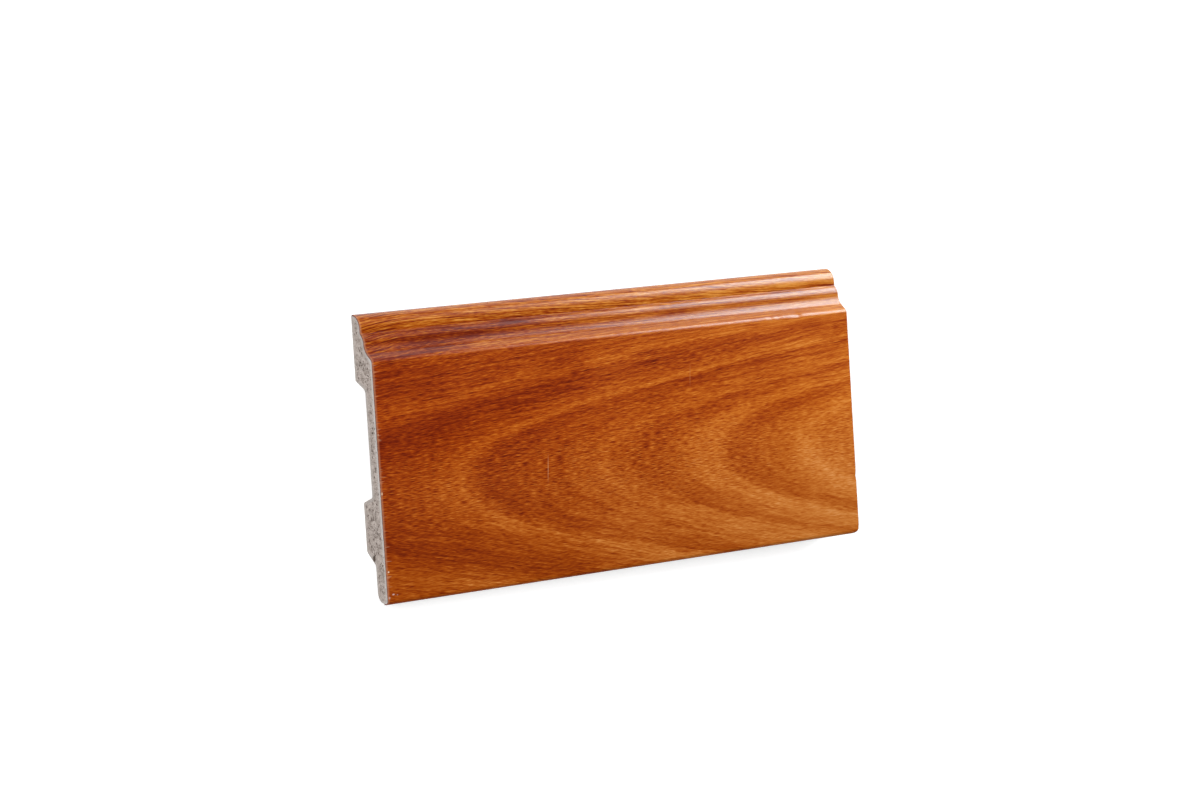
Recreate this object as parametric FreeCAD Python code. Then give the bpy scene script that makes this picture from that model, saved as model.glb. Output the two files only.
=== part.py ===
import FreeCAD, Part
from FreeCAD import Vector
import math
import os

# A short cut length of skirting board, the moulded strip that covers the joint between wall and
# floor. It is an extruded strip of grey foamed plastic with a wood-grain film wrapped over its face.
# It lies on its back, as it is stored: X runs along the strip, Y up its face from the floor edge to
# the moulded top edge, and Z out of the wall. The origin is the middle of the back, on the wall plane.
# A section point is given as up, from the floor edge, and out, from the wall plane, in millimetres.

# The strip as a whole
LENGTH = 200.0
HEIGHT = 95.0
THICKNESS = 11.0

# The film: its thickness, how far it stops short of the wall plane at the top, and how far it
# turns under the floor edge
FILM = 0.4
FILM_TRIM = 0.3
FILM_TURN_UNDER = 2.5

# The moulding. Drops are measured down from the top edge, and tilts are leans of a face away from
# the flat face's plane, in degrees.
NOSE_OUT = 4.9
NOSE_RADIUS = 4.6
BEAD_DROP = 6.15
BEAD_TOP_TILT = 54.0
BEAD_FACE_TILT = 4.0
BEAD_RADIUS = 3.6
COVE_DROP = 11.65
COVE_OUT = 6.8
COVE_RADIUS = 4.7
FLARE_TILT = 52.0
ARRIS_RADIUS = 1.8
CREASE_RADIUS = 0.3
FLOOR_ARRIS_RADIUS = 1.5

# The hollowed back: two pads lie on the wall, with a wide recess between them and a relieved lip
# below the lower one
RECESS_DEPTH = 5.6
UPPER_PAD = 21.7
UPPER_FLANK = 3.0
UPPER_FLANK_FILLET = 2.0
LOWER_PAD_TOP = 33.2
LOWER_PAD = 16.2
LOWER_FLANK = 1.9
LOWER_FLANK_FILLET = 0.7
PAD_CORNER_RADIUS = 1.0
LIP_RELIEF = 5.0
LIP_FLANK = 4.2
LIP_FLANK_FILLET = 1.0
PAD_FOOT_RADIUS = 1.5
TOE_RADIUS = 3.4


def direction(a, b):
    """The unit direction from one section point to another."""
    run = math.hypot(b[0] - a[0], b[1] - a[1])
    return ((b[0] - a[0]) / run, (b[1] - a[1]) / run)


def tilted(tilt):
    """The downward direction along a face that leans out by this many degrees."""
    return (-math.cos(math.radians(tilt)), math.sin(math.radians(tilt)))


def crossing(start_a, way_a, start_b, way_b):
    """Where two lines of the section cross, each given by a point and a direction."""
    across = way_a[0] * way_b[1] - way_a[1] * way_b[0]
    gap = (start_b[0] - start_a[0], start_b[1] - start_a[1])
    run = (gap[0] * way_b[1] - gap[1] * way_b[0]) / across
    return (start_a[0] + run * way_a[0], start_a[1] + run * way_a[1])


def half_angle(before, here, after):
    """Half of the angle between the two runs that meet at a corner."""
    back = direction(here, before)
    on = direction(here, after)
    return math.acos(back[0] * on[0] + back[1] * on[1]) / 2


def with_room(corners):
    """The same open outline with its radii reduced wherever two roundings would overlap."""
    shares = [1.0] * len(corners)
    setbacks = [0.0] * len(corners)
    for i in range(1, len(corners) - 1):
        setbacks[i] = corners[i][2] / math.tan(half_angle(*corners[i - 1:i + 2]))
    for i in range(len(corners) - 1):
        run = math.dist(corners[i][:2], corners[i + 1][:2])
        wanted = setbacks[i] + setbacks[i + 1]
        if wanted > run:
            shares[i] = min(shares[i], run / wanted)
            shares[i + 1] = min(shares[i + 1], run / wanted)
    return [(up, out, radius * share) for (up, out, radius), share in zip(corners, shares)]


def face_corners():
    """The outside of the film from its trimmed edge at the back, over the top edge and down the
    face, to where it stops under the floor edge. Each corner has the radius that rounds it."""
    bead_top = (HEIGHT - BEAD_DROP, NOSE_OUT)
    cove = (HEIGHT - COVE_DROP, COVE_OUT)
    bead = crossing(bead_top, tilted(BEAD_TOP_TILT), cove, tilted(BEAD_FACE_TILT))
    arris = crossing(cove, tilted(FLARE_TILT), (HEIGHT, THICKNESS), tilted(0))
    return with_room([
        (HEIGHT, FILM_TRIM, 0),
        (HEIGHT, NOSE_OUT, NOSE_RADIUS),
        (*bead_top, CREASE_RADIUS),
        (*bead, BEAD_RADIUS),
        (*cove, COVE_RADIUS),
        (*arris, ARRIS_RADIUS),
        (0, THICKNESS, FLOOR_ARRIS_RADIUS),
        (0, THICKNESS - FILM_TURN_UNDER, 0),
    ])


def back_corners():
    """The foam's own outline from the film's lower edge, round the toe and up the back to where
    the top edge meets the wall plane."""
    foot = LOWER_PAD_TOP - LOWER_PAD
    upper_edge = HEIGHT - UPPER_PAD
    return with_room([
        (FILM, THICKNESS - FILM_TURN_UNDER, 0),
        (FILM, LIP_RELIEF, TOE_RADIUS),
        (foot - LIP_FLANK, LIP_RELIEF, LIP_FLANK_FILLET),
        (foot, 0, PAD_FOOT_RADIUS),
        (LOWER_PAD_TOP, 0, PAD_CORNER_RADIUS),
        (LOWER_PAD_TOP + LOWER_FLANK, RECESS_DEPTH, LOWER_FLANK_FILLET),
        (upper_edge - UPPER_FLANK, RECESS_DEPTH, UPPER_FLANK_FILLET),
        (upper_edge, 0, CREASE_RADIUS),
        (HEIGHT - FILM, 0, 0),
    ])


def inset(corners, depth):
    """The same open outline moved in behind itself by a depth. Outer corners tighten and inner
    ones open, so the two outlines stay parallel round every curve."""
    moved = []
    last = len(corners) - 1
    for i, (up, out, radius) in enumerate(corners):
        first = max(i - 1, 0)
        second = min(i, last - 1)
        before = direction(*corners[first:first + 2])
        after = direction(*corners[second:second + 2])
        turn = before[0] * after[1] - before[1] * after[0]
        on_before = (up - before[1] * depth, out + before[0] * depth)
        on_after = (up - after[1] * depth, out + after[0] * depth)
        if i in (0, last):
            moved.append((*on_before, 0))
            continue
        place = crossing(on_before, before, on_after, after)
        moved.append((*place, max(radius - math.copysign(depth, turn), 0)))
    return moved


def at(up, out):
    """A section point at the left-hand cut end."""
    return Vector(-LENGTH / 2, up - HEIGHT / 2, out)


def outline(corners):
    """A closed outline of straight runs and tangent arcs through a list of corners."""
    ends = []
    for i, (up, out, radius) in enumerate(corners):
        if radius == 0:
            ends.append((at(up, out), None, at(up, out)))
            continue
        before = corners[i - 1]
        after = corners[(i + 1) % len(corners)]
        half = half_angle(before, (up, out), after)
        back = direction((up, out), before)
        on = direction((up, out), after)
        middle = direction((0, 0), (back[0] + on[0], back[1] + on[1]))
        setback = radius / math.tan(half)
        reach = radius / math.sin(half) - radius
        ends.append((
            at(up + back[0] * setback, out + back[1] * setback),
            at(up + middle[0] * reach, out + middle[1] * reach),
            at(up + on[0] * setback, out + on[1] * setback),
        ))
    edges = []
    for i, (start, crown, end) in enumerate(ends):
        if crown is not None:
            edges.append(Part.Arc(start, crown, end).toShape())
        following = ends[(i + 1) % len(ends)][0]
        if end.distanceToPoint(following) > 1e-6:
            edges.append(Part.makeLine(end, following))
    return Part.Wire(edges)


def extruded(corners):
    """The solid that a section sweeps along the strip."""
    return Part.Face(outline(corners)).extrude(Vector(LENGTH, 0, 0))


def foam_core():
    """The foamed strip that fills the film and lies on the wall with its two pads."""
    under_film = inset(face_corners(), FILM)
    return extruded(under_film[:-1] + back_corners())


def wood_grain_film():
    """The film: a band between the face outline and the same outline one film thickness in."""
    outside = face_corners()
    return extruded(outside + inset(outside, FILM)[::-1])


PARTS = {
    "foam_core": foam_core,
    "wood_grain_film": wood_grain_film,
}

os.makedirs("parts", exist_ok=True)
for name, make in PARTS.items():
    solid = make()
    solid.exportStep(f"parts/{name}.step")
    box = solid.BoundBox
    print(
        f"{name}: valid {solid.isValid()}, volume {solid.Volume / 1000:.2f} cm3,"
        f" {box.XLength:.2f} x {box.YLength:.2f} x {box.ZLength:.2f} mm"
    )
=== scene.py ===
import math
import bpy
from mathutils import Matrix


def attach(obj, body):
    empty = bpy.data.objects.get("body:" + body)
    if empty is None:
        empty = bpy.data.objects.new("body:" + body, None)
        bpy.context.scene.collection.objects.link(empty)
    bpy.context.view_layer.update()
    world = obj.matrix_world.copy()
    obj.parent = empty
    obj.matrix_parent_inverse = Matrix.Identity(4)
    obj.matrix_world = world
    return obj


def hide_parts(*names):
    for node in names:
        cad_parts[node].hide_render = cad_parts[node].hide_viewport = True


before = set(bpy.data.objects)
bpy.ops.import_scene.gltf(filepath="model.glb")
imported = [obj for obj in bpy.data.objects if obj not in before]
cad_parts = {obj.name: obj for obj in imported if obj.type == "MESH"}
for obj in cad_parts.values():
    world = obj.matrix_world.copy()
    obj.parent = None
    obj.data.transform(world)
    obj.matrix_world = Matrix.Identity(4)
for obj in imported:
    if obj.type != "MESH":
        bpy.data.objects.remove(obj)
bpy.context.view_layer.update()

from types import SimpleNamespace

import bmesh
import bpy
from mathutils import Euler, Quaternion, Vector, kdtree, noise

# The skirting board length lies on its back. X runs along it, Y goes up its face from the floor
# edge to the moulded top edge, and Z comes out of the wall. Section points are given as up, from
# the floor edge, and out, from the wall plane, both in millimetres.


# FOAM CORE
# Polystyrene foamed in the die: a hollowed strip with a dense skin all round, cooled in a sizing
# tool that leaves faint lines along it. Both ends are sawn, and the cut opens the cells.

MM = 0.001
BOARD_LENGTH = 200.0
BOARD_HEIGHT = 95.0
BOARD_THICKNESS = 11.0

# The film that the foam fills: its thickness, how far it stops short of the wall plane at the top,
# and how far it turns under the floor edge
FILM = 0.4
FILM_TRIM = 0.3
FILM_TURN_UNDER = 2.5

# The moulding, as sizes of the film's outside. Drops are measured down from the top edge, and tilts
# are leans of a face away from the flat face's plane, in degrees.
NOSE_OUT = 4.9
NOSE_RADIUS = 4.6
BEAD_DROP = 6.15
BEAD_TOP_TILT = 54.0
BEAD_FACE_TILT = 4.0
BEAD_RADIUS = 3.6
COVE_DROP = 11.65
COVE_OUT = 6.8
COVE_RADIUS = 4.7
FLARE_TILT = 52.0
ARRIS_RADIUS = 1.8
CREASE_RADIUS = 0.3
FLOOR_ARRIS_RADIUS = 1.5

# The hollowed back: two pads lie on the wall, with a wide recess between them and a relieved lip
# below the lower one
RECESS_DEPTH = 5.6
UPPER_PAD_FOOT = BOARD_HEIGHT - 21.7
UPPER_FLANK = 3.0
UPPER_FLANK_FILLET = 2.0
LOWER_PAD_TOP = 33.2
LOWER_PAD_FOOT = LOWER_PAD_TOP - 16.2
LOWER_FLANK = 1.9
LOWER_FLANK_FILLET = 0.7
PAD_CORNER_RADIUS = 1.0
LIP_RELIEF = 5.0
LIP_FLANK = 4.2
LIP_FLANK_FILLET = 1.0
PAD_FOOT_RADIUS = 1.5
TOE_RADIUS = 3.4

# The flats of each rounding, the angle over which faces meet in a crease, and how near to each
# other two points count as one
ARC_STEPS = 10
CREASE_ANGLE = 28.0
SAME_PLACE = 0.001 * MM

# The section is cut into a grid of this spacing, set a little off its corners, so that the sawn
# ends can be pitted
CELL_GRID = 0.2
GRID_SHIFT = 0.03

# The open cells of a sawn end: their spacing up the section and through it, and the strings that
# they gather in. A factor shuffles which of them are open and how large they are.
CELL_UP = 1.0
CELL_OUT = 0.66
STRING_UP = 7.0
STRING_OUT = 1.1
CELL_SHUFFLE = 9.7
PORE_DEPTH = 0.6

# The skin has no open cells. They reach their full number this far in from it, which is less in
# the lip at the floor edge.
SKIN = 0.8
LIP_TOP = 14.0
FULL_IN_LIP = 0.6
FULL_IN_BODY = 0.9

# The foam is denser and paler in a rim under the skin, which fades inwards
RIM_FADE = 1.2
RIM_IN_LIP = 1.2
RIM_IN_BODY = 1.6

# The deep pit under the lower pad at the left-hand end
PIT_UP = 14.8
PIT_OUT = 3.9
PIT_HALF_UP = 1.1
PIT_HALF_OUT = 0.8

# The saw's grain is all over the cut. Nothing nearer to the outline than the margin is pitted.
SAW_GRAIN = 0.35
SAW_ROUGHNESS = 0.025
OUTLINE_MARGIN = 0.05

# The floor corner of the right-hand end is knocked round
CORNER_WEAR = 2.6


def tilted(tilt):
    """The downward direction along a face that leans out by this many degrees."""
    return Vector((-math.cos(math.radians(tilt)), math.sin(math.radians(tilt))))


def crossing(start_a, way_a, start_b, way_b):
    """Where two lines of the section cross, each given by a point and a direction."""
    return start_a + way_a * ((start_b - start_a).cross(way_b) / way_a.cross(way_b))


def inset(corners, depth):
    """The corners of an outline moved in behind itself, without its two ends. Outer corners
    tighten and inner ones open, so the two outlines stay parallel round every curve."""
    points = [Vector(corner[:2]) for corner in corners]
    moved = []
    for i in range(1, len(corners) - 1):
        before = (points[i] - points[i - 1]).normalized()
        after = (points[i + 1] - points[i]).normalized()
        on_before = points[i] + before.orthogonal() * depth
        on_after = points[i] + after.orthogonal() * depth
        radius = corners[i][2] - math.copysign(depth, before.cross(after))
        moved.append((*crossing(on_before, before, on_after, after), radius))
    return moved


def at(along, up, out):
    """A point of the board in the frame's metres. along is measured from the middle."""
    return Vector((along * MM, (up - BOARD_HEIGHT / 2) * MM, out * MM))


def setback(corners, i):
    """How far from corner i its rounding starts, in metres."""
    up, out, radius = corners[i]
    before, after = corners[i - 1], corners[(i + 1) % len(corners)]
    back = Vector((before[0] - up, before[1] - out))
    on = Vector((after[0] - up, after[1] - out))
    return radius * MM / math.tan(back.angle(on) / 2)


def everything(bm):
    """All of a bmesh, as the cutting operators want it."""
    return bm.verts[:] + bm.edges[:] + bm.faces[:]


def runs(edge, axis):
    """Whether an edge runs more than 20 mm along the X or Y axis, 0 or 1."""
    return abs(edge.verts[0].co[axis] - edge.verts[1].co[axis]) > 20 * MM


def swept_verts(swept):
    """The new vertices of an extrusion."""
    return [part for part in swept["geom"] if isinstance(part, bmesh.types.BMVert)]


def share(value, start, end):
    """How far a value is on its way from start to end, held between 0 and 1."""
    return min(max((value - start) / (end - start), 0.0), 1.0)


def pore_at(up, out, depth, seed):
    """How deep the sawn foam is open at a point, from 0 to 1. depth is its distance from the skin."""
    to_cells, centres = noise.voronoi(Vector((up / CELL_UP, out / CELL_OUT, seed)))
    chance, size, _ = noise.cell_vector(centres[0] * CELL_SHUFFLE)
    inwards = share(depth, SKIN, SKIN + (FULL_IN_LIP if up < LIP_TOP else FULL_IN_BODY))
    strings = noise.noise(Vector((up / STRING_UP, out / STRING_OUT, seed)))
    # Fewer are open near the skin, and more along a string
    share_open = 0.15 + 0.6 * inwards + 0.5 * strings
    if depth < SKIN * 0.7 or chance > share_open:
        return 0.0
    # The radius is a share of the spacing, and smaller near the skin
    radius = (0.2 + 0.28 * size) * (0.6 + 0.4 * inwards)
    return math.sqrt(max(1 - (to_cells[0] / radius) ** 2, 0.0))


def knocked_in(along, up):
    """How far the right-hand end is worn back at its floor corner, in millimetres."""
    if along < 0 or up > CORNER_WEAR:
        return 0.0
    return CORNER_WEAR - math.sqrt(CORNER_WEAR ** 2 - (CORNER_WEAR - max(up, 0.0)) ** 2)


def finished(name, bm, materials):
    """A smooth-shaded object made of a bmesh, with creases at its sharper edges."""
    mesh = bpy.data.meshes.new(name)
    bm.to_mesh(mesh)
    bm.free()
    mesh.shade_smooth()
    mesh.set_sharp_from_angle(angle=math.radians(CREASE_ANGLE))
    for material in materials:
        mesh.materials.append(material)
    piece = bpy.data.objects.new(name, mesh)
    bpy.context.scene.collection.objects.link(piece)
    return piece


def linear(code):
    """An sRGB hex colour as a linear colour with alpha."""
    channels = [int(code[i:i + 2], 16) / 255 for i in (1, 3, 5)]
    curve = [c / 12.92 if c <= 0.04045 else ((c + 0.055) / 1.055) ** 2.4 for c in channels]
    return (*curve, 1.0)


def new_material(name):
    """A material with an empty node tree. Returns both."""
    material = bpy.data.materials.new(name)
    material.use_nodes = True
    material.node_tree.nodes.clear()
    return material, material.node_tree


def add(tree, kind, *values, stops=(), **settings):
    """Adds a shader node with its settings. The values go to its inputs in their order, or by name
    or number where one dictionary holds them. A node among them is linked by its first output in
    use, and a socket by itself. stops are the positions and colours of a colour ramp."""
    node = tree.nodes.new(kind)
    for name, value in settings.items():
        setattr(node, name, value)
    inputs = values[0] if values and isinstance(values[0], dict) else dict(enumerate(values))
    for name, value in inputs.items():
        if isinstance(value, bpy.types.Node):
            value = next(socket for socket in value.outputs if socket.enabled)
        if isinstance(value, bpy.types.NodeSocket):
            tree.links.new(value, node.inputs[name])
        else:
            node.inputs[name].default_value = value
    for i, (position, colour) in enumerate(stops):
        elements = node.color_ramp.elements
        element = elements[i] if i < len(elements) else elements.new(1.0)
        element.position = position
        element.color = colour
    return node


def blend(tree, first, second, first_share):
    """Two noises added in shares that make one."""
    part = add(tree, "ShaderNodeMath", first, first_share, operation="MULTIPLY")
    return add(tree, "ShaderNodeMath", second, 1 - first_share, part, operation="MULTIPLY_ADD")


# The outside of the film from its edge under the floor edge, over the face, to its edge near the
# wall. Each corner is up, out and the radius that rounds it.
bead_top = Vector((BOARD_HEIGHT - BEAD_DROP, NOSE_OUT))
cove = Vector((BOARD_HEIGHT - COVE_DROP, COVE_OUT))
bead = crossing(bead_top, tilted(BEAD_TOP_TILT), cove, tilted(BEAD_FACE_TILT))
arris = crossing(cove, tilted(FLARE_TILT), Vector((BOARD_HEIGHT, BOARD_THICKNESS)), tilted(0))
FACE_CORNERS = [
    (0.0, BOARD_THICKNESS - FILM_TURN_UNDER, 0.0),
    (0.0, BOARD_THICKNESS, FLOOR_ARRIS_RADIUS),
    (*arris, ARRIS_RADIUS),
    (*cove, COVE_RADIUS),
    (*bead, BEAD_RADIUS),
    (*bead_top, CREASE_RADIUS),
    (BOARD_HEIGHT, NOSE_OUT, NOSE_RADIUS),
    (BOARD_HEIGHT, FILM_TRIM, 0.0),
]
# The foam from the wall over the face, one film thickness in, and back up the hollowed side
FOAM_CORNERS = [
    (BOARD_HEIGHT - FILM, 0.0, 0.0),
    *inset(FACE_CORNERS[::-1], FILM),
    (FILM, LIP_RELIEF, TOE_RADIUS),
    (LOWER_PAD_FOOT - LIP_FLANK, LIP_RELIEF, LIP_FLANK_FILLET),
    (LOWER_PAD_FOOT, 0.0, PAD_FOOT_RADIUS),
    (LOWER_PAD_TOP, 0.0, PAD_CORNER_RADIUS),
    (LOWER_PAD_TOP + LOWER_FLANK, RECESS_DEPTH, LOWER_FLANK_FILLET),
    (UPPER_PAD_FOOT - UPPER_FLANK, RECESS_DEPTH, UPPER_FLANK_FILLET),
    (UPPER_PAD_FOOT, 0.0, CREASE_RADIUS),
]

section = bmesh.new()
corner_verts = [section.verts.new(at(-BOARD_LENGTH / 2, up, out)) for up, out, _ in FOAM_CORNERS]
section.faces.new(corner_verts)
for i, vert in enumerate(corner_verts):
    if FOAM_CORNERS[i][2]:
        bmesh.ops.bevel(
            section, geom=[vert], offset=setback(FOAM_CORNERS, i), offset_type="ABSOLUTE",
            segments=ARC_STEPS, profile=0.5, affect="VERTICES", material=-1, clamp_overlap=False,
        )
for normal, extent in (((0, 1, 0), BOARD_HEIGHT), ((0, 0, 1), BOARD_THICKNESS)):
    for step in range(1, int(extent / CELL_GRID)):
        cut = step * CELL_GRID + GRID_SHIFT
        bmesh.ops.bisect_plane(
            section, geom=everything(section), dist=SAME_PLACE / 10, plane_no=normal,
            plane_co=at(0, cut, cut),
        )
swept = bmesh.ops.extrude_face_region(section, geom=everything(section), use_keep_orig=True)
bmesh.ops.translate(section, verts=swept_verts(swept), vec=(BOARD_LENGTH * MM, 0, 0))
bmesh.ops.recalc_face_normals(section, faces=section.faces)

outline_verts = [vert for vert in section.verts if any(runs(edge, 0) for edge in vert.link_edges)]
outline_tree = kdtree.KDTree(len(outline_verts))
for i, vert in enumerate(outline_verts):
    outline_tree.insert(vert.co, i)
outline_tree.balance()

# The sawn ends: open cells, the saw's grain and the worn corner
pore_layer = section.verts.layers.float.new("pore")
rim_layer = section.verts.layers.float.new("rim")
for vert in section.verts:
    side = 1 if vert.co.x > 0 else -1
    up, out = vert.co.y / MM + BOARD_HEIGHT / 2, vert.co.z / MM
    depth = outline_tree.find(vert.co)[2] / MM
    rim_width = RIM_IN_LIP if up < LIP_TOP else RIM_IN_BODY
    vert[rim_layer] = share(depth, rim_width, rim_width - RIM_FADE)
    if depth > OUTLINE_MARGIN:
        pore = pore_at(up, out, depth, seed=3.0 + 8 * side)
        if side < 0:
            pit = 1 - ((up - PIT_UP) / PIT_HALF_UP) ** 2 - ((out - PIT_OUT) / PIT_HALF_OUT) ** 2
            pore = max(pore, min(pit * 2, 1.0))
        grain = vert.co / MM / SAW_GRAIN
        torn = SAW_ROUGHNESS * noise.noise(Vector((grain.y, grain.z, 5.0 * side)))
        vert[pore_layer] = pore
        vert.co.x -= side * MM * (PORE_DEPTH * pore + max(torn, 0.0))
    vert.co.x -= MM * knocked_in(vert.co.x / MM, up)
for face in section.faces:
    face.material_index = 1 if abs(face.normal.x) > 0.2 else 0

skin_material, tree = new_material("foamed polystyrene, extruded skin")
# Dense, faintly satin skin. Die lines a millimetre or so apart run along it for a hand's breadth,
# over blotches of some 17 mm.
where = add(tree, "ShaderNodeTexCoord").outputs["Object"]
drawn_out = add(tree, "ShaderNodeMapping", {
    "Vector": where, "Scale": (1 / (125 * MM), 0.9 / MM, 0.9 / MM),
})
lines = add(tree, "ShaderNodeTexNoise", {"Vector": drawn_out, "Scale": 1.0, "Detail": 3.0})
blotch = add(tree, "ShaderNodeTexNoise", {"Vector": where, "Scale": 0.06 / MM, "Detail": 3.0})
colour = add(tree, "ShaderNodeValToRGB", blend(tree, lines, blotch, 0.5), stops=[
    (0.35, linear("#a69b94")), (0.5, linear("#b7ada6")), (0.65, linear("#c2b9b3")),
])
bump = add(tree, "ShaderNodeBump", {"Height": lines, "Strength": 0.35, "Distance": 0.1 * MM})
surface = add(tree, "ShaderNodeBsdfPrincipled", {
    "Base Color": colour, "Roughness": 0.55, "IOR": 1.5, "Normal": bump,
})
add(tree, "ShaderNodeOutputMaterial", {"Surface": surface})

sawn_material, tree = new_material("foamed polystyrene, sawn end")
# Cut cells: a matt, slightly warm grey, darkened inside each open pore by painted shade. The cell
# walls give it a grain of 2.6 to the millimetre, over blotches of 2 mm.
where = add(tree, "ShaderNodeTexCoord").outputs["Object"]
walls = add(tree, "ShaderNodeTexNoise", {"Vector": where, "Scale": 2.6 / MM, "Detail": 2.0})
blotch = add(tree, "ShaderNodeTexNoise", {"Vector": where, "Scale": 0.5 / MM, "Detail": 3.0})
plain = add(tree, "ShaderNodeValToRGB", blend(tree, walls, blotch, 0.55), stops=[
    (0.37, linear("#82766e")), (0.5, linear("#ab9f97")), (0.62, linear("#c6bab3")),
])
# The rim is paler the farther it is out of the wall, up to the film
height = add(tree, "ShaderNodeSeparateXYZ", where).outputs["Z"]
height = add(tree, "ShaderNodeMath", height, 10 * MM, operation="DIVIDE")
under_film = add(tree, "ShaderNodeValToRGB", height, stops=[
    (0.75, linear("#b2aba6")), (0.95, linear("#ccc7c3")),
])
rim = add(tree, "ShaderNodeAttribute", attribute_name="rim").outputs["Fac"]
rim = add(tree, "ShaderNodeMath", rim, 0.75, operation="MULTIPLY")
plain = add(tree, "ShaderNodeMix", {0: rim, 6: plain, 7: under_film}, data_type="RGBA")
# Painted shade: each open pore is darkened by how deep it is
pore = add(tree, "ShaderNodeAttribute", attribute_name="pore").outputs["Fac"]
painted_pore_shade = add(tree, "ShaderNodeMath", pore, 2.0, operation="MULTIPLY", use_clamp=True)
colour = add(tree, "ShaderNodeMix", {0: painted_pore_shade, 6: plain, 7: linear("#54483f")}, data_type="RGBA")
bump = add(tree, "ShaderNodeBump", {"Height": walls, "Strength": 0.6, "Distance": 0.1 * MM})
surface = add(tree, "ShaderNodeBsdfPrincipled", {
    "Base Color": colour, "Roughness": 0.9, "IOR": 1.45, "Normal": bump,
})
add(tree, "ShaderNodeOutputMaterial", {"Surface": surface})

foam = finished("foam_strip", section, [skin_material, sawn_material])
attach(foam, "root")
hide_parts("foam_core")


# WOOD-GRAIN FILM
# Calendered PVC film, gravure printed with a reddish hardwood and embossed with its pores. It is
# glued hot over the strip from the top back edge to just under the floor edge, and sawn with it.
# It is satin on the flat face and glossy round the moulding.

LENGTH_STEPS = 300
FACE_STEPS = 40
# Extra cuts this far in from each end keep its ragged edge short
END_CUTS = (0.25, 0.6, 1.1)

# Near the right-hand end the film has puckered on the arris. It is ruffled over a length, and dips
# once, more steeply on the right. The places along are from the middle of the board.
ARRIS_UP = 79.6
ARRIS_HALF = 2.4
ARRIS_OUT = 9.0
DIP_ALONG = 78.2
DIP = 0.3
DIP_LEFT = 2.6
DIP_RIGHT = 0.9
RUFFLE_ALONG = 64.0
RUFFLE_HALF = 9.0
RUFFLE = 0.2
RUFFLE_LENGTH = 1.6
RUFFLE_HEIGHT = 6.0

# The knocked floor corner draws the film in over this length
WORN_LENGTH = 8.0

# The saw leaves the film's ends a little ragged, with a few small chips. Each is a noise with a
# spacing round the film, a threshold and a reach.
RAGGED = (0.9, 0.0, 0.12)
CHIPPED = (2.2, 0.42, 1.6)

sheet = bmesh.new()
corner_verts = [sheet.verts.new(at(-BOARD_LENGTH / 2, up, out)) for up, out, _ in FACE_CORNERS]
edges = [sheet.edges.new(pair) for pair in zip(corner_verts, corner_verts[1:])]
swept = bmesh.ops.extrude_edge_only(sheet, edges=edges)
bmesh.ops.translate(sheet, verts=swept_verts(swept), vec=(BOARD_LENGTH * MM, 0, 0))
for i in range(1, len(FACE_CORNERS) - 1):
    corner = at(0, *FACE_CORNERS[i][:2])
    fold = [
        edge for edge in sheet.edges
        if all((vert.co - corner).yz.length < SAME_PLACE for vert in edge.verts)
    ]
    bmesh.ops.bevel(
        sheet, geom=fold, offset=setback(FACE_CORNERS, i), offset_type="OFFSET",
        segments=ARC_STEPS, profile=0.5, affect="EDGES", material=-1, clamp_overlap=False,
    )
bmesh.ops.remove_doubles(sheet, verts=sheet.verts, dist=SAME_PLACE)
for axis, steps in ((1, FACE_STEPS), (0, LENGTH_STEPS)):
    edges = [edge for edge in sheet.edges if runs(edge, axis)]
    bmesh.ops.subdivide_edges(sheet, edges=edges, cuts=steps - 1, use_grid_fill=True)
for inside in END_CUTS:
    for side in (-1, 1):
        bmesh.ops.bisect_plane(
            sheet, geom=everything(sheet), dist=SAME_PLACE / 10, plane_no=(1, 0, 0),
            plane_co=at(side * (BOARD_LENGTH / 2 - inside), 0, 0),
        )
bmesh.ops.recalc_face_normals(sheet, faces=sheet.faces)
if sum(face.normal.z * face.calc_area() for face in sheet.faces) < 0:
    bmesh.ops.reverse_faces(sheet, faces=sheet.faces)

# The girth is the way round the film from its lower edge. It places the print, as the rollers did.
left_end = [vert for vert in sheet.verts if vert.co.x < at(-BOARD_LENGTH / 2 + 0.1, 0, 0).x]
lower_edge = at(-BOARD_LENGTH / 2, *FACE_CORNERS[0][:2])
ordered = [next(vert for vert in left_end if (vert.co - lower_edge).length < SAME_PLACE)]
while len(ordered) < len(left_end):
    neighbours = [edge.other_vert(ordered[-1]) for edge in ordered[-1].link_edges]
    ordered.append(next(v for v in neighbours if v in left_end and v not in ordered[-2:]))
girths = [0.0]
for before, after in zip(ordered, ordered[1:]):
    girths.append(girths[-1] + (after.co - before.co).length / MM)
whole_girth = girths[-1]
girth_tree = kdtree.KDTree(len(ordered))
for i, vert in enumerate(ordered):
    girth_tree.insert((0, vert.co.y, vert.co.z), i)
girth_tree.balance()


def girth(co):
    """The way round the film to a point of its outside, in millimetres."""
    return girths[girth_tree.find((0, co.y, co.z))[1]]


def torn_back(place, side, seed, spacing, threshold, reach):
    """How far a tear of the film's end goes in, at a place round it, in millimetres."""
    return reach * max(noise.noise(Vector((place / spacing, seed * side, 0.0))) - threshold, 0.0)


print_layer = sheet.loops.layers.uv.new("print")
for face in sheet.faces:
    for loop in face.loops:
        co = loop.vert.co
        loop[print_layer].uv = (co.x / MM / BOARD_LENGTH + 0.5, girth(co) / whole_girth)

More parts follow.
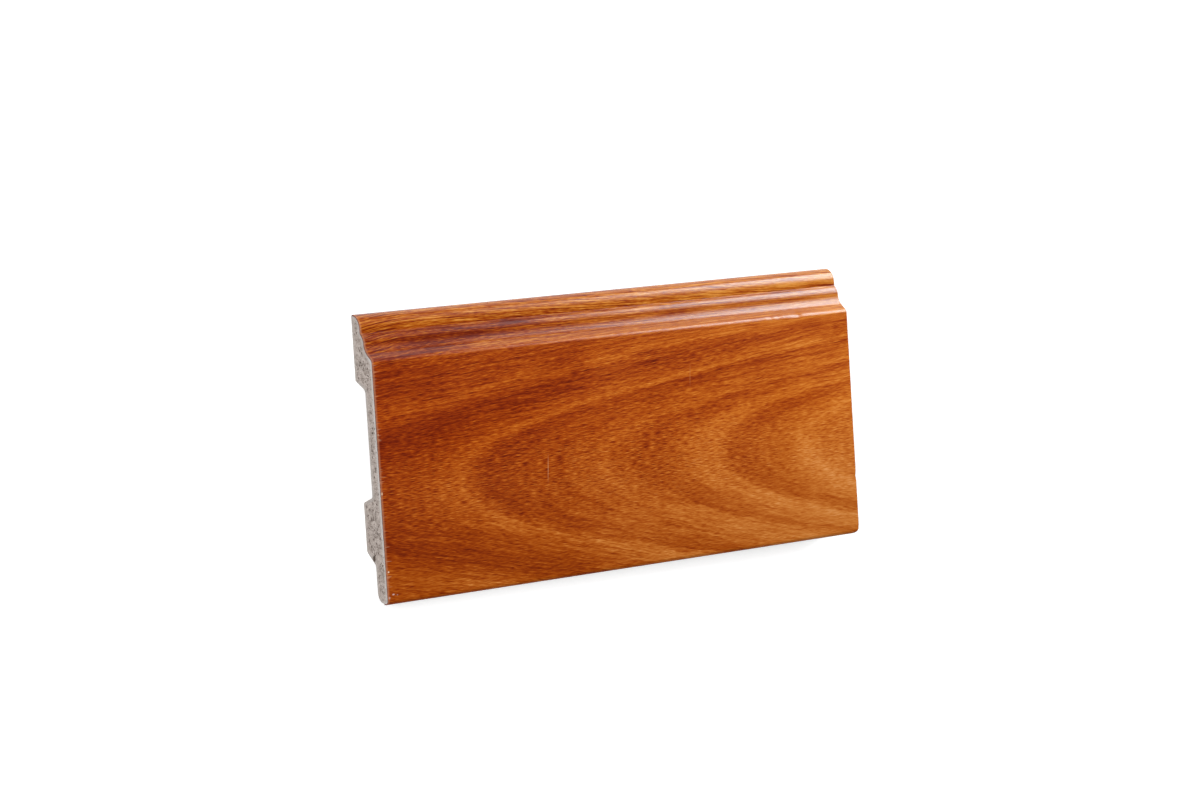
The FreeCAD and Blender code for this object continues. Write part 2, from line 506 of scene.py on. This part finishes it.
for vert in sheet.verts:
    along, up = vert.co.x / MM, vert.co.y / MM + BOARD_HEIGHT / 2
    worn = share(along, BOARD_LENGTH / 2 - WORN_LENGTH, BOARD_LENGTH / 2)
    vert.co.x -= MM * worn * knocked_in(along, up)
    on_arris = max(1 - ((up - ARRIS_UP) / ARRIS_HALF) ** 2, 0.0)
    if on_arris and vert.co.z > ARRIS_OUT * MM:
        width = DIP_LEFT if along < DIP_ALONG else DIP_RIGHT
        dip = DIP * math.exp(-((along - DIP_ALONG) / width) ** 2)
        ruffle = RUFFLE * noise.noise(Vector((along / RUFFLE_LENGTH, up / RUFFLE_HEIGHT, 2.0)))
        dip += ruffle * max(1 - ((along - RUFFLE_ALONG) / RUFFLE_HALF) ** 2, 0.0)
        vert.co.y -= MM * dip * on_arris
for vert in sheet.verts:
    if abs(abs(vert.co.x) - BOARD_LENGTH / 2 * MM) < SAME_PLACE / 10:
        side = 1 if vert.co.x > 0 else -1
        place = girth(vert.co)
        torn = torn_back(place, side, 4.0, *RAGGED) + torn_back(place, side, 9.0, *CHIPPED)
        vert.co.x -= side * torn * MM

# The print's own places are along, from the left-hand end, and up, round the film, in millimetres.
# Up is counted from this girth, which makes it the true height on the flat face.
FLOOR_EDGE_GIRTH = FILM_TURN_UNDER + FLOOR_ARRIS_RADIUS * (math.pi / 2 - 2)

# Growth rings: the saw went through the log at a slant, so they show as arches whose tips point
# left along a line that sags towards both ends. Above and below it they bow back by a power law.
TIP_LINE_UP = 36.7
TIP_LINE_TOP_ALONG = 16.0
TIP_LINE_SAG = -1.05e-4
TIP_RADIUS = 6.0
UPPER_BOW = (0.4665, 1.71)
LOWER_BOW = (0.4252, 1.594)
ARCH_LEAN = 0.2313

# How pale the print is where a ring's tip starts this far along. Each ring starts dark at its
# outer edge and pales inwards, up to the next one's edge.
RING_TONES = [
    (-700, 0.5), (-640, 0.3), (-600, 0.62), (-540, 0.3), (-490, 0.6), (-450, 0.35), (-400, 0.7),
    (-360, 0.35), (-310, 0.65), (-270, 0.4), (-225, 0.66), (-205, 0.3), (-160, 0.32), (-128, 0.5),
    (-90, 0.6), (-58, 0.82), (-42, 0.45), (-26, 0.2), (-8, 0.3), (20, 0.66), (31, 0.88),
    (41, 0.2), (60, 0.42), (96, 0.7), (106, 0.17), (116, 0.42), (136, 0.82), (148, 0.2),
    (162, 0.44), (179, 0.9), (190, 0.52),
]
FIRST_RING = RING_TONES[0][0]
RINGS_SPAN = BOARD_LENGTH - FIRST_RING

# A dark figure lies across the moulding near its left end. It rises with the grain by this lean.
FIGURE_ALONG = 42.0
FIGURE_UP = 88.4
FIGURE_HALF_ALONG = 42.0
FIGURE_HALF_UP = 5.4
FIGURE_LEAN = 0.06

# The inks from the darkest tone to the palest
INKS = [
    (0.0, "#661600"), (0.22, "#882a00"), (0.42, "#a44102"), (0.6, "#ba590f"), (0.8, "#cf7220"),
    (1.0, "#e18b3a"),
]

# Small marks of the print: along, up, half the length and height in millimetres, colour, strength.
# They lean to the right by this much for each millimetre up.
MARKS = [
    # Two hairline scratches across the grain
    (66.5, 37.8, 0.13, 5.2, "#dc9f70", 0.9),
    (128.4, 63.4, 0.16, 4.6, "#c98049", 0.6),
    # Chips near the sawn end that faces the camera
    (0.9, 10.9, 0.35, 0.35, "#ecd2b4", 1.2),
    (0.4, 36.6, 0.3, 0.6, "#e6c4a4", 1.0),
    (0.5, 55.9, 0.3, 0.3, "#e6c4a4", 0.5),
    (2.2, 3.4, 0.6, 0.3, "#d4b8ac", 0.9),
    (3.7, 3.1, 0.4, 0.2, "#c9aa9a", 0.6),
    (0.6, 2.4, 0.4, 0.5, "#c4aaa0", 0.8),
]
MARK_LEAN = 0.08


def cloud(tree, base, length, width, detail=2.0, offset=0.0):
    """Noise from 0 to 1 with features of that length and width in millimetres."""
    stretched = add(tree, "ShaderNodeMapping", {
        "Vector": base, "Scale": (1 / length, 1 / width, 1), "Location": (offset, offset, offset),
    })
    return add(tree, "ShaderNodeTexNoise", {"Vector": stretched, "Scale": 1.0, "Detail": detail})


def swing(tree, pattern, reach):
    """A noise as a push of up to about half its reach either way."""
    return add(tree, "ShaderNodeMath", pattern, reach, -reach / 2, operation="MULTIPLY_ADD")


def oval(tree, across, half_across, upright, half_upright):
    """From 1 at the middle of an oval to 0 at its edge, from two distances to its middle."""
    squares = []
    for distance, half in ((across, half_across), (upright, half_upright)):
        ratio = add(tree, "ShaderNodeMath", distance, half, operation="DIVIDE")
        squares.append(add(tree, "ShaderNodeMath", ratio, ratio, operation="MULTIPLY"))
    apart = add(tree, "ShaderNodeMath", *squares, operation="ADD")
    return add(tree, "ShaderNodeMath", 1.0, apart, operation="SUBTRACT", use_clamp=True)


def print_places(tree):
    """The print's places in millimetres: plain, with the climb of the grain taken out, and rippled
    as well. on_moulding goes from 0 on the flat face to 1 over the bead."""
    uv = add(tree, "ShaderNodeUVMap", uv_map="print")
    place = add(tree, "ShaderNodeMapping", {
        "Vector": uv, "Scale": (BOARD_LENGTH, whole_girth, 1), "Location": (0, -FLOOR_EDGE_GIRTH, 0),
    })
    split = add(tree, "ShaderNodeSeparateXYZ", place)
    along, up = split.outputs["X"], split.outputs["Y"]

    # The grain lies level low on the face and climbs a little to the right higher up
    climb = add(tree, "ShaderNodeMapRange", up, 25.0, 80.0, -0.02, 0.09)
    from_middle = add(tree, "ShaderNodeMath", along, BOARD_LENGTH / 2, operation="SUBTRACT")
    level = add(tree, "ShaderNodeMath", climb, from_middle, operation="MULTIPLY")
    # On the moulding it arches: it climbs steeply at the left end, and sinks slowly from there
    arch = add(tree, "ShaderNodeMath", along, -22.0, operation="DIVIDE")
    arch = add(tree, "ShaderNodeMath", arch, operation="EXPONENT")
    sinking = add(tree, "ShaderNodeMath", along, -0.06, operation="MULTIPLY")
    arch = add(tree, "ShaderNodeMath", arch, -5.3, sinking, operation="MULTIPLY_ADD")
    on_moulding = add(tree, "ShaderNodeMapRange", up, 76.0, 90.0, 0.0, 1.0)
    level = add(tree, "ShaderNodeMix", {0: on_moulding, 2: level, 3: arch})
    levelled = add(tree, "ShaderNodeMath", up, level, operation="SUBTRACT")
    grain = add(tree, "ShaderNodeCombineXYZ", along, levelled)

    # Ripples under a millimetre high
    ripple = cloud(tree, grain, 8, 3.5, detail=1.0).outputs["Color"]
    ripple = add(tree, "ShaderNodeVectorMath", ripple, (0.5, 0.5, 0.5), operation="SUBTRACT")
    wavy = add(tree, "ShaderNodeVectorMath", ripple, (0.0, 0.9, 0.0), grain, operation="MULTIPLY_ADD")
    return SimpleNamespace(
        place=place, along=along, up=up, grain=grain, wavy=wavy, on_moulding=on_moulding,
    )


def growth_rings(tree, at_print):
    """Where a place is among the rings. slant is its height over the tip line, reach is its height
    either way, soft at the tips, and ring is how far along the tip line its own arch starts.
    ragged is that with the torn edges."""
    run = add(tree, "ShaderNodeMath", at_print.along, TIP_LINE_TOP_ALONG, operation="SUBTRACT")
    run = add(tree, "ShaderNodeMath", run, run, operation="MULTIPLY")
    tip_line = add(tree, "ShaderNodeMath", run, TIP_LINE_SAG, TIP_LINE_UP, operation="MULTIPLY_ADD")
    slant = add(tree, "ShaderNodeMath", at_print.up, tip_line, operation="SUBTRACT")
    bent = swing(tree, cloud(tree, at_print.place, 30, 10, offset=3.1), 2.4)
    slant = add(tree, "ShaderNodeMath", slant, bent, operation="ADD")
    reach = add(tree, "ShaderNodeMath", slant, slant, TIP_RADIUS ** 2, operation="MULTIPLY_ADD")
    reach = add(tree, "ShaderNodeMath", reach, operation="SQRT")
    reach = add(tree, "ShaderNodeMath", reach, TIP_RADIUS, operation="SUBTRACT")
    bows = []
    for scale, power in (LOWER_BOW, UPPER_BOW):
        bow = add(tree, "ShaderNodeMath", reach, power, operation="POWER")
        bows.append(add(tree, "ShaderNodeMath", bow, scale, operation="MULTIPLY"))
    is_upper = add(tree, "ShaderNodeMath", slant, 0.0, operation="GREATER_THAN")
    bow = add(tree, "ShaderNodeMix", {0: is_upper, 2: bows[0], 3: bows[1]})
    start = add(tree, "ShaderNodeMath", at_print.along, bow, operation="SUBTRACT")
    ring = add(tree, "ShaderNodeMath", slant, ARCH_LEAN, start, operation="MULTIPLY_ADD")

    # Its edges are torn where they cross the grain, finely and coarsely
    fine = swing(tree, cloud(tree, at_print.grain, 11, 0.5, offset=7.7), 12.5)
    coarse = swing(tree, cloud(tree, at_print.grain, 22, 5, detail=1.0, offset=5.2), 6.0)
    ragged = add(tree, "ShaderNodeMath", ring, fine, operation="ADD")
    ragged = add(tree, "ShaderNodeMath", ragged, coarse, operation="ADD")
    return SimpleNamespace(slant=slant, reach=reach, ring=ring, ragged=ragged)


def ring_pushes(tree, at_print, rings):
    """What the growth rings and their thin lines of late wood do to the print's tone."""
    last_ring = FIRST_RING + RINGS_SPAN
    reached = add(tree, "ShaderNodeMapRange", rings.ragged, FIRST_RING, last_ring, 0.0, 1.0)
    body = add(tree, "ShaderNodeValToRGB", reached, stops=[
        ((start - FIRST_RING) / RINGS_SPAN, (tone, tone, tone, 1)) for start, tone in RING_TONES
    ])
    body = add(tree, "ShaderNodeMath", body, 0.42, operation="MULTIPLY")
    across_rings = add(tree, "ShaderNodeCombineXYZ", rings.ragged, at_print.along)
    late_wood = swing(tree, cloud(tree, across_rings, 4.5, 60, detail=1.0), 0.36)
    return [body, late_wood]


def wavelet_pushes(tree, at_print, rings, streak):
    """What the fine wavy streaks do to the tone, the vessels and rays of the wood."""
    coarse = swing(tree, cloud(tree, at_print.wavy, 7.0, 0.5, detail=1.0, offset=2.0), 0.4)
    fine = add(tree, "ShaderNodeMath", swing(tree, streak, 1.7), coarse, operation="ADD")
    # Below the tips the fine lines follow the rings instead
    below = add(tree, "ShaderNodeMapRange", rings.slant, -18.0, -5.0, 1.0, 0.0)
    bent = swing(tree, cloud(tree, at_print.grain, 6, 1.2, detail=1.0, offset=1.3), 7.0)
    bent = add(tree, "ShaderNodeMath", rings.ring, bent, operation="ADD")
    along_rings = add(tree, "ShaderNodeCombineXYZ", bent, at_print.along)
    lines = swing(tree, cloud(tree, along_rings, 2.6, 14, detail=1.0), 0.8)
    lines = add(tree, "ShaderNodeMath", lines, below, operation="MULTIPLY")
    kept = add(tree, "ShaderNodeMath", below, -0.35, 1.0, operation="MULTIPLY_ADD")
    fine = add(tree, "ShaderNodeMath", fine, kept, lines, operation="MULTIPLY_ADD")
    # They are strongest at the tips, where the saw ran along a ring, and calm to the right
    tips = add(tree, "ShaderNodeMapRange", rings.reach, 2.0, 16.0, 0.95, 0.72)
    calm = add(tree, "ShaderNodeMapRange", at_print.along, 115.0, 175.0, 1.0, 0.68)
    strength = add(tree, "ShaderNodeMath", tips, calm, operation="MULTIPLY")
    return [add(tree, "ShaderNodeMath", fine, strength, operation="MULTIPLY")]


def long_streak_pushes(tree, at_print):
    """What the long streaks and dark hairlines do to the tone. They gather on the upper part of
    the face and on the moulding, which has its own long ones as well."""
    upward = add(tree, "ShaderNodeMapRange", at_print.up, 35.0, 70.0, 0.25, 0.85)
    band = swing(tree, cloud(tree, at_print.wavy, 17, 0.85, offset=4.0), 1.0)
    band = add(tree, "ShaderNodeMath", band, upward, operation="MULTIPLY")
    drawn = swing(tree, cloud(tree, at_print.grain, 17, 0.36, detail=2.5, offset=9.0), 1.9)
    drawn = add(tree, "ShaderNodeMath", drawn, at_print.on_moulding, operation="MULTIPLY")
    hairs = cloud(tree, at_print.wavy, 15, 0.22, offset=13.0)
    hairs = add(tree, "ShaderNodeMath", hairs, -6.0, 2.64, operation="MULTIPLY_ADD", use_clamp=True)
    hairs = add(tree, "ShaderNodeMath", hairs, upward, operation="MULTIPLY")
    hairs = add(tree, "ShaderNodeMath", hairs, -0.42, operation="MULTIPLY")
    return [band, drawn, hairs]


def moulding_pushes(tree, at_print):
    """How the tone differs over the moulding, from the face's top to the nose: partly the print, and
    partly painted highlights and painted shade on the arris and the flare.
    """
    along, up = at_print.along, at_print.up
    # Each push is a product of steps up the print and along it. A step has where it starts and
    # ends, in millimetres, and what it goes from and to.
    steps_of_pushes = [
        # Just under the moulding, paler at the left
        [(up, 71.0, 79.0, 0.0, 0.14), (along, 10.0, 80.0, 1.0, 0.0)],
        # The arris, paler, most at the left: a painted highlight
        [(up, 76.5, 79.0, 0.0, 0.1), (up, 79.3, 80.3, 1.0, 0.0), (along, 10.0, 120.0, 1.0, 0.2)],
        # The bead, darker at the left and paler at the right
        [(up, 84.0, 86.0, 0.0, 1.0), (up, 90.0, 91.5, 1.0, 0.0), (along, 62.0, 88.0, -0.08, 0.1)],
        # The nose, paler, and less so where it turns to the wall
        [(up, 90.5, 92.5, 0.0, 0.18)],
        [(up, 95.2, 97.0, 0.0, -0.05)],
    ]
    # The flare is dark at the left end, a painted shade, up to a slanting edge, and pale past it, a
    # painted highlight
    slanted = add(tree, "ShaderNodeMath", up, 80.0, operation="SUBTRACT")
    slanted = add(tree, "ShaderNodeMath", slanted, -6.0, along, operation="MULTIPLY_ADD")
    steps_of_pushes.append([
        (up, 79.3, 80.3, 0.0, 1.0), (up, 82.5, 85.5, 1.0, 0.0),
        (slanted, 8.0, 34.0, -0.22, 0.27), (along, 90.0, 160.0, 1.0, 0.25),
    ])
    pushes = []
    for steps in steps_of_pushes:
        push = 1.0
        for step in steps:
            factor = add(tree, "ShaderNodeMapRange", *step)
            push = add(tree, "ShaderNodeMath", push, factor, operation="MULTIPLY")
        pushes.append(push)

    # The dark figure, with a wavy edge
    away = add(tree, "ShaderNodeMath", along, FIGURE_ALONG, operation="SUBTRACT")
    off = add(tree, "ShaderNodeMath", up, FIGURE_UP, operation="SUBTRACT")
    off = add(tree, "ShaderNodeMath", away, -FIGURE_LEAN, off, operation="MULTIPLY_ADD")
    bent = swing(tree, cloud(tree, at_print.wavy, 20, 2.0, offset=6.3), 3.0)
    off = add(tree, "ShaderNodeMath", off, bent, operation="ADD")
    figure = oval(tree, away, FIGURE_HALF_ALONG, off, FIGURE_HALF_UP)
    pushes.append(add(tree, "ShaderNodeMath", figure, -0.14, operation="MULTIPLY"))
    return pushes


def tinted(tree, up, start, end, tint_at_start, tint_at_end, colour):
    """The colour multiplied by a tint that changes from one to another up the print."""
    step = add(tree, "ShaderNodeMapRange", up, start, end, 0.0, 1.0)
    tint = add(tree, "ShaderNodeMix", {0: step, 6: tint_at_start, 7: tint_at_end}, data_type="RGBA")
    return add(tree, "ShaderNodeVectorMath", colour, tint, operation="MULTIPLY")


def bruised(tree, at_print, colour):
    """The colour where the saw has bruised the print's ends pale, in short dashes along the grain
    that reach in from the left end, and a third as far from the right one."""
    along = at_print.along
    from_right = add(tree, "ShaderNodeMath", BOARD_LENGTH, along, operation="SUBTRACT")
    from_right = add(tree, "ShaderNodeMath", from_right, 3.0, operation="MULTIPLY")
    from_end = add(tree, "ShaderNodeMath", along, from_right, operation="MINIMUM")
    dashes = cloud(tree, at_print.place, 6, 0.35, detail=1.0, offset=5.5)
    dashes = add(tree, "ShaderNodeMath", dashes, 9.0, -4.6, operation="MULTIPLY_ADD")
    dashes = add(tree, "ShaderNodeMath", dashes, 0.85, operation="MAXIMUM")
    bruise = add(tree, "ShaderNodeMath", dashes, from_end, operation="SUBTRACT")
    bruise = add(tree, "ShaderNodeMath", bruise, 1.2, operation="MULTIPLY", use_clamp=True)
    bruise = add(tree, "ShaderNodeMath", bruise, 0.55, operation="MULTIPLY")
    return add(tree, "ShaderNodeMix", {0: bruise, 6: colour, 7: linear("#c48e6a")}, data_type="RGBA")


def marked(tree, at_print, colour):
    """The colour with the print's small marks."""
    leaning = add(tree, "ShaderNodeMath", at_print.up, -MARK_LEAN, operation="MULTIPLY")
    leaning = add(tree, "ShaderNodeMath", at_print.along, leaning, operation="ADD")
    for along, up, half_along, half_up, code, strength in MARKS:
        across = add(tree, "ShaderNodeMath", leaning, along - MARK_LEAN * up, operation="SUBTRACT")
        upright = add(tree, "ShaderNodeMath", at_print.up, up, operation="SUBTRACT")
        mark = oval(tree, across, half_along, upright, half_up)
        mark = add(tree, "ShaderNodeMath", mark, strength, operation="MULTIPLY", use_clamp=True)
        colour = add(tree, "ShaderNodeMix", {0: mark, 6: colour, 7: linear(code)}, data_type="RGBA")
    return colour


def print_with_painted_light(tree):
    """Builds the printed hardwood, with painted highlights and shade on the moulding and a painted
    sheen towards the floor edge. Returns its colour, its fine streaks and a slow cloud.
    """
    at_print = print_places(tree)
    along, up = at_print.along, at_print.up
    rings = growth_rings(tree, at_print)
    streak = cloud(tree, at_print.wavy, 2.8, 0.21, detail=1.0)
    slow = cloud(tree, at_print.place, 40, 22, offset=11.0)

    # The tone is a sum of pushes, from 0 for dark to 1 for pale. It falls a little up the face and
    # rises to the right.
    tone = add(tree, "ShaderNodeMath", along, 0.0019, 0.095, operation="MULTIPLY_ADD")
    pushes = [add(tree, "ShaderNodeMapRange", up, 38.0, 75.0, 0.0, -0.06), swing(tree, slow, 0.25)]
    pushes += ring_pushes(tree, at_print, rings)
    pushes += wavelet_pushes(tree, at_print, rings, streak)
    pushes += long_streak_pushes(tree, at_print)
    pushes += moulding_pushes(tree, at_print)
    for push in pushes:
        tone = add(tree, "ShaderNodeMath", tone, push, operation="ADD")
    inks = [(paleness, linear(code)) for paleness, code in INKS]
    colour = add(tree, "ShaderNodeValToRGB", tone, stops=inks)

    # Yellower over the moulding, and paler and bluer towards the floor edge, a painted sheen
    colour = tinted(tree, up, 78.0, 82.0, (1, 1, 1, 1), (0.93, 1.1, 1.15, 1), colour)
    colour = tinted(tree, up, 5.0, 50.0, (0.99, 1.26, 2.7, 1), (1, 1, 1, 1), colour)
    colour = bruised(tree, at_print, colour)
    return marked(tree, at_print, colour), streak, slow


def printed_film(finish, low, high, shine):
    """The clear-coated print at a finish, its roughness wandering from low to high. Its shine is a
    little cool, and the embossing breaks it into fine streaks along the grain."""
    material, tree = new_material("PVC film, printed hardwood, " + finish)
    colour, streak, slow = print_with_painted_light(tree)
    emboss = add(tree, "ShaderNodeBump", {"Height": streak, "Strength": 0.06, "Distance": 0.1 * MM})
    gloss = add(tree, "ShaderNodeMapRange", slow, 0.3, 0.7, low, high)
    surface = add(tree, "ShaderNodeBsdfPrincipled", {
        "Base Color": colour, "Roughness": gloss, "IOR": 1.5, "Specular IOR Level": shine,
        "Specular Tint": linear("#d7f8ff"), "Normal": emboss,
    })
    add(tree, "ShaderNodeOutputMaterial", {"Surface": surface})
    return material


# Satin on the flat face. The hot rollers that press it round the moulding have polished it there,
# from just under the arris.
satin_material = printed_film("satin", 0.42, 0.5, 0.1)
gloss_material = printed_film("gloss", 0.21, 0.25, 0.5)
GLOSS_START = 79.2
for face in sheet.faces:
    face.material_index = int(face.calc_center_median().y > at(0, GLOSS_START, 0).y)

edge_material, tree = new_material("PVC film, cut edge")
# The pinkish brown body of the film, which the saw shows as a thin line round the foam. It is
# flecked about every millimetre.
where = add(tree, "ShaderNodeTexCoord").outputs["Object"]
fleck = add(tree, "ShaderNodeTexNoise", {"Vector": where, "Scale": 0.9 / MM, "Detail": 2.0})
colour = add(tree, "ShaderNodeValToRGB", fleck, stops=[
    (0.35, linear("#5a2a20")), (0.55, linear("#753c30")), (0.72, linear("#96645a")),
])
surface = add(tree, "ShaderNodeBsdfPrincipled", {"Base Color": colour, "Roughness": 0.6, "IOR": 1.5})
add(tree, "ShaderNodeOutputMaterial", {"Surface": surface})

film = finished("printed_film", sheet, [satin_material, gloss_material, edge_material])
thickness = film.modifiers.new("film thickness", "SOLIDIFY")
thickness.thickness = FILM * MM
thickness.offset = -1
thickness.use_even_offset = True
# The rim takes the third material, the cut edge
thickness.material_offset_rim = 2
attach(film, "root")
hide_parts("wood_grain_film")


# STUDIO FLOOR
# Plain white paper under the board. It keeps the board's soft shadow, and to the camera it is
# lifted towards the white of the photograph's background, the more the farther it is away.

FLOOR_HALF = 3.0

floor_mesh = bmesh.new()
bmesh.ops.create_grid(floor_mesh, x_segments=1, y_segments=1, size=FLOOR_HALF)
paper_material, tree = new_material("white paper")
# Matt, with no shine of its own. The glow is what the camera alone sees added.
where = add(tree, "ShaderNodeTexCoord").outputs["Object"]
distance = add(tree, "ShaderNodeVectorMath", where, operation="LENGTH")
lift = add(tree, "ShaderNodeMapRange", distance, 0.3, 1.2, 0.5, 1.0)
seen = add(tree, "ShaderNodeLightPath").outputs["Is Camera Ray"]
lift = add(tree, "ShaderNodeMath", seen, lift, operation="MULTIPLY")
paper = add(tree, "ShaderNodeBsdfDiffuse", {"Color": linear("#f2f2f2")})
glow = add(tree, "ShaderNodeEmission", {"Strength": lift})
both = add(tree, "ShaderNodeAddShader", paper, glow)
add(tree, "ShaderNodeOutputMaterial", {"Surface": both})
floor = finished("paper_floor", floor_mesh, [paper_material])


# CAMERA
# A long lens, a little over a metre away, looks down on the lying board from its upper left end,
# as the photograph's camera looked at the standing one.

LENS_LENGTH = 105.344
SENSOR_WIDTH = 36.0
CAMERA_PLACE = (-0.69979, 0.10541, 0.97797)
CAMERA_TURN = (-1.97287, -35.6912, -4.40731)

lens = bpy.data.cameras.new("camera")
lens.lens = LENS_LENGTH
lens.sensor_width = SENSOR_WIDTH
lens.clip_start = 0.05
camera = bpy.data.objects.new("camera", lens)
camera.location = CAMERA_PLACE
camera.rotation_euler = Euler([math.radians(angle) for angle in CAMERA_TURN])
bpy.context.scene.collection.objects.link(camera)
bpy.context.scene.camera = camera


# LAMPS
# A square box on the left lights the face and the cut end. A round, faintly cool one beyond the
# right end, low behind the moulding, draws the pale lines along its curves, which fade to the left.

def soft_box(name, place, aim, size, watts, colour=(1, 1, 1), shape="RECTANGLE", turn=0.0):
    """An area lamp that faces a point, turned about its own axis by some degrees."""
    lamp = bpy.data.lights.new(name, "AREA")
    lamp.shape = shape
    lamp.size, lamp.size_y = size
    lamp.energy = watts
    lamp.color = colour
    stand = bpy.data.objects.new(name, lamp)
    facing = (Vector(aim) - Vector(place)).to_track_quat("-Z", "Y")
    stand.location = place
    stand.rotation_euler = (facing @ Quaternion((0, 0, 1), math.radians(turn))).to_euler()
    bpy.context.scene.collection.objects.link(stand)


soft_box("left_box", (-0.95, 0.15, 1.0), (0, 0, 0), (0.9, 0.9), 18.0)
soft_box(
    "moulding_box", (0.883, 0.553, 0.376), (0, 0.04, 0.007), (0.641, 0.839), 15.4,
    colour=(0.93, 0.98, 1.0), shape="ELLIPSE", turn=50.0,
)

# The room is dim for the board and white for the camera
ROOM_LIGHT = 0.04
world = bpy.data.worlds.new("studio")
world.use_nodes = True
tree = world.node_tree
tree.nodes.clear()
seen = add(tree, "ShaderNodeLightPath").outputs["Is Camera Ray"]
level = add(tree, "ShaderNodeMath", seen, 1 - ROOM_LIGHT, ROOM_LIGHT, operation="MULTIPLY_ADD")
sky = add(tree, "ShaderNodeBackground", {"Color": (1, 1, 1, 1), "Strength": level})
add(tree, "ShaderNodeOutputWorld", {"Surface": sky})
bpy.context.scene.world = world
bpy.context.scene.view_settings.view_transform = "Standard"
